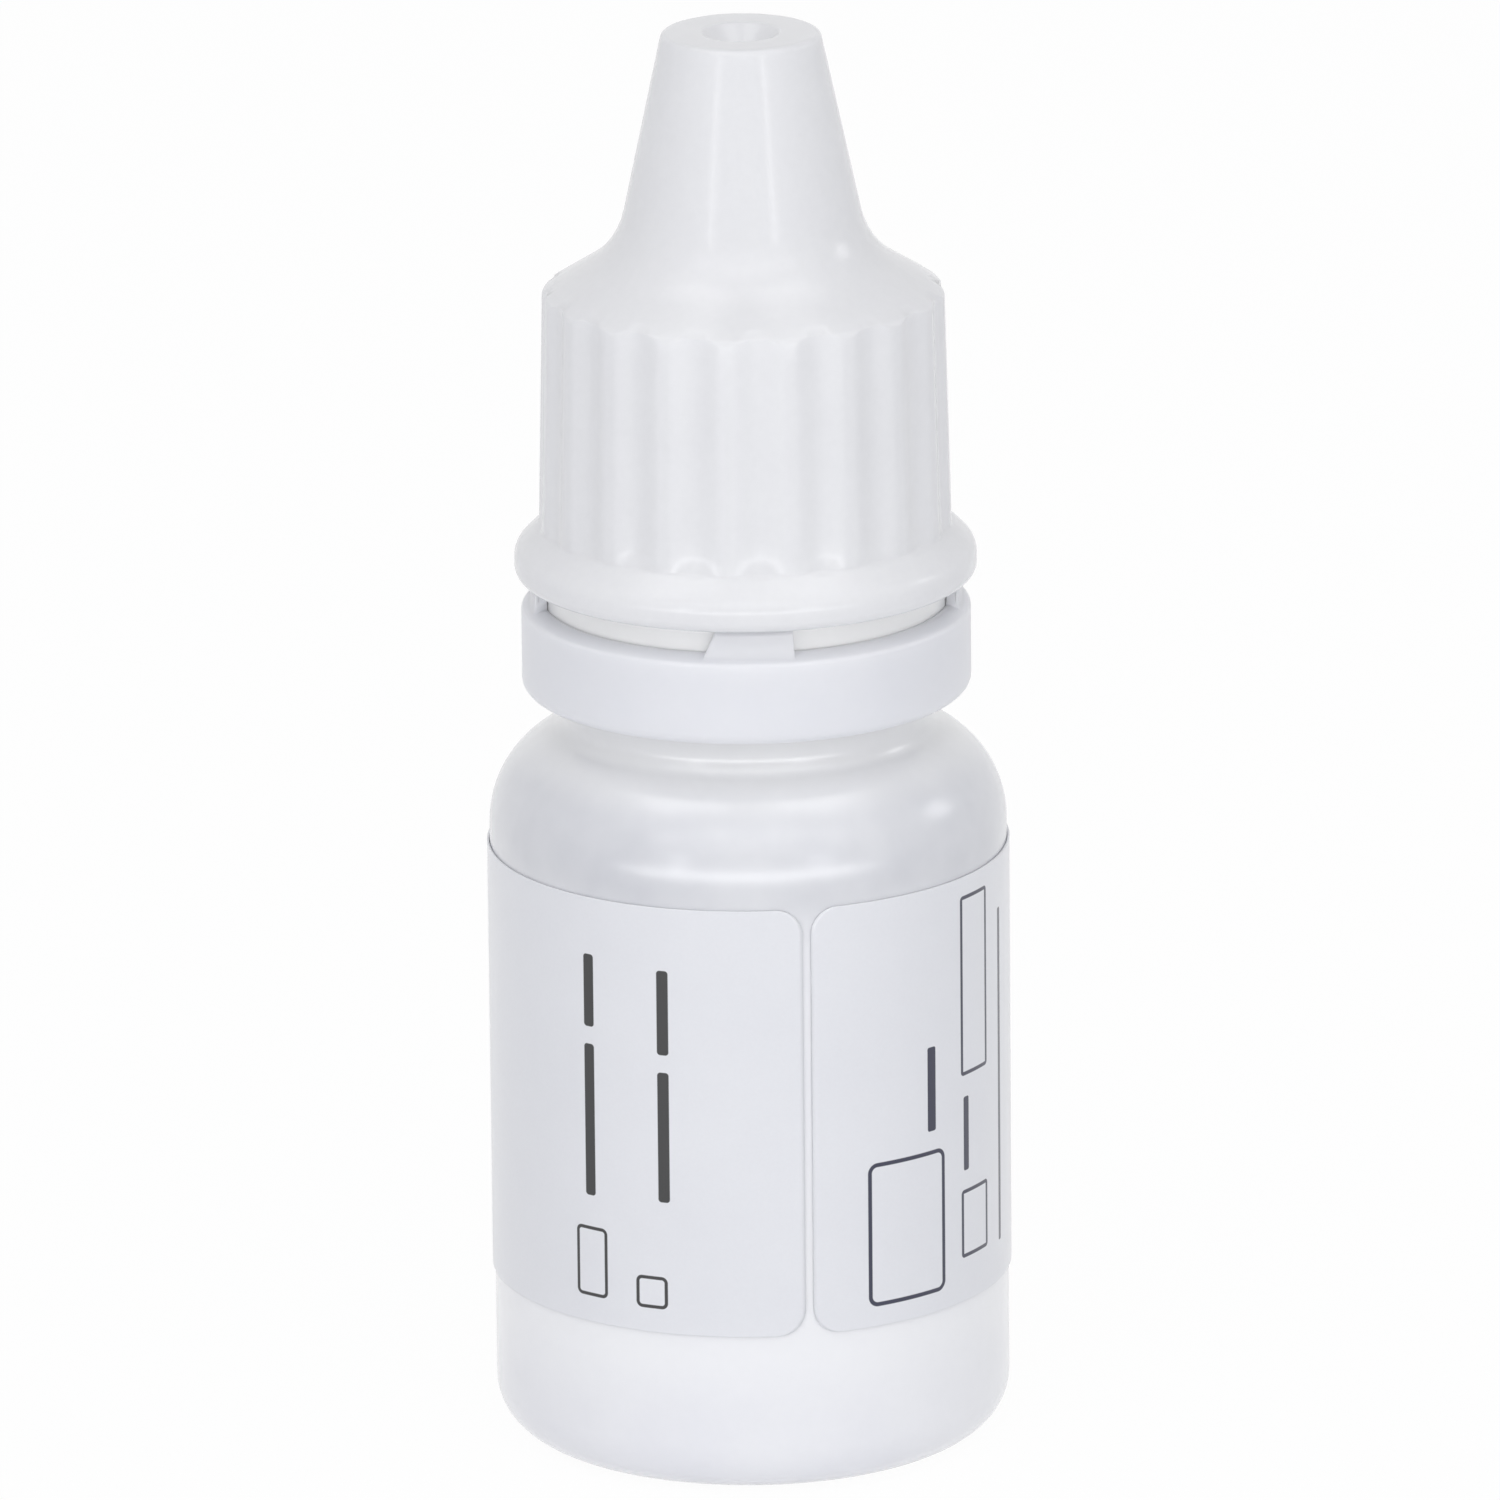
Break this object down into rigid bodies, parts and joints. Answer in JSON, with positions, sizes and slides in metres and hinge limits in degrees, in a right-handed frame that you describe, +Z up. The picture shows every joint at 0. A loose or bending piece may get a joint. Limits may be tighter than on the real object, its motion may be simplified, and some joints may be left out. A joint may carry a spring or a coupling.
{
  "type": "eye drop bottle",
  "caption": "Round squeeze bottle for eye drops with a rolled shoulder, wrap-round label, tamper ring and a ribbed screw cap drawn up into a long cone over the dropper.",
  "frame": {"origin": "on the bottle's axis at the foot it stands on", "axes": "+Z up along the axis to the cap's tip, -Y to the front of the label, +X to the right seen from the front"},
  "size_m": [0.0252, 0.0252, 0.0697],
  "materials": {
    "bottle": "milky translucent soft plastic, satin",
    "dropper_insert": "milky translucent soft plastic",
    "cap": "opaque white plastic, satin gloss",
    "tamper_ring": "opaque white plastic, satin gloss",
    "label": "thin white film label, matte",
    "solution": "clear colourless liquid"
  },
  "bodies": {
    "bottle": {"bottle": "bottle", "dropper_insert": "dropper_insert", "label": "label", "solution": "solution"},
    "tamper_ring": {"tamper_ring": "tamper_ring"},
    "cap": {"cap": "cap"}
  },
  "joints": [
    {"name": "cap_turn", "type": "hinge", "parent": "bottle", "child": "tamper_ring", "pos_m": [0, 0, 0.0397], "axis": [0, 0, 1], "range_deg": [0, 2880]},
    {"name": "cap_lift", "type": "slide", "parent": "tamper_ring", "child": "cap", "axis": [0, 0, 1], "range_m": [0, 0.024]}
  ],
  "couplings": [
    {"joint": "cap_lift", "follows": "cap_turn", "m_per_rad": 0.00047746}
  ]
}
